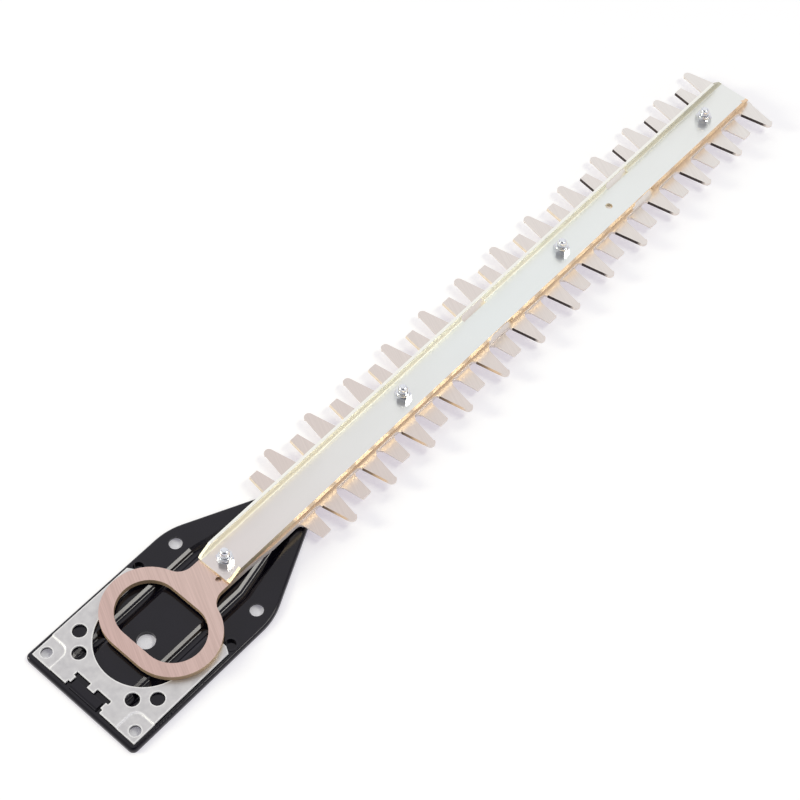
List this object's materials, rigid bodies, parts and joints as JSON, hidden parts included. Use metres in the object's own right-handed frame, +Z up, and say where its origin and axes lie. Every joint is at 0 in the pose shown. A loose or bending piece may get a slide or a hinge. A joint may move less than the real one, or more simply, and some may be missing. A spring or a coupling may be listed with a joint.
{
  "type": "hedge trimmer blade",
  "caption": "Hedge trimmer cutter bar: sliding toothed blades with yoke rings under a channel guide bar, bolted to a black base plate with a bright wear plate.",
  "frame": {"origin": "crank axis at the lower end of the base plate's crank hole", "axes": "+X along the blades from the yoke to the tip, +Y to the left, +Z up from the surface it lies on"},
  "size_m": [0.5268, 0.0746, 0.0189],
  "materials": {
    "black_paint": "gloss black paint",
    "galvanised": "dull galvanised",
    "blade_steel": "ground steel",
    "zinc": "bright zinc plating",
    "fastener": "zinc plating",
    "nylon": "nylon"
  },
  "bodies": {
    "frame": {"base_plate": "black_paint", "wear_plate": "galvanised", "guide_bar": "zinc", "bolt_1": "fastener", "bolt_2": "fastener", "bolt_3": "fastener", "bolt_4": "fastener", "sleeve_1": "fastener", "sleeve_2": "fastener", "sleeve_3": "fastener", "sleeve_4": "fastener", "washer_2": "fastener", "washer_3": "fastener", "washer_4": "fastener", "lock_nut_1": "fastener", "lock_nut_2": "fastener", "lock_nut_3": "fastener", "lock_nut_4": "fastener", "nut_insert_1": "nylon", "nut_insert_2": "nylon", "nut_insert_3": "nylon", "nut_insert_4": "nylon"},
    "upper": {"upper_blade": "blade_steel"},
    "lower": {"lower_blade": "blade_steel"}
  },
  "joints": [
    {"name": "upper_blade_slide", "type": "slide", "parent": "frame", "child": "upper", "axis": [1, 0, 0], "range_m": [-0.021, 0]},
    {"name": "lower_blade_slide", "type": "slide", "parent": "frame", "child": "lower", "axis": [1, 0, 0], "range_m": [-0.021, 0]}
  ]
}
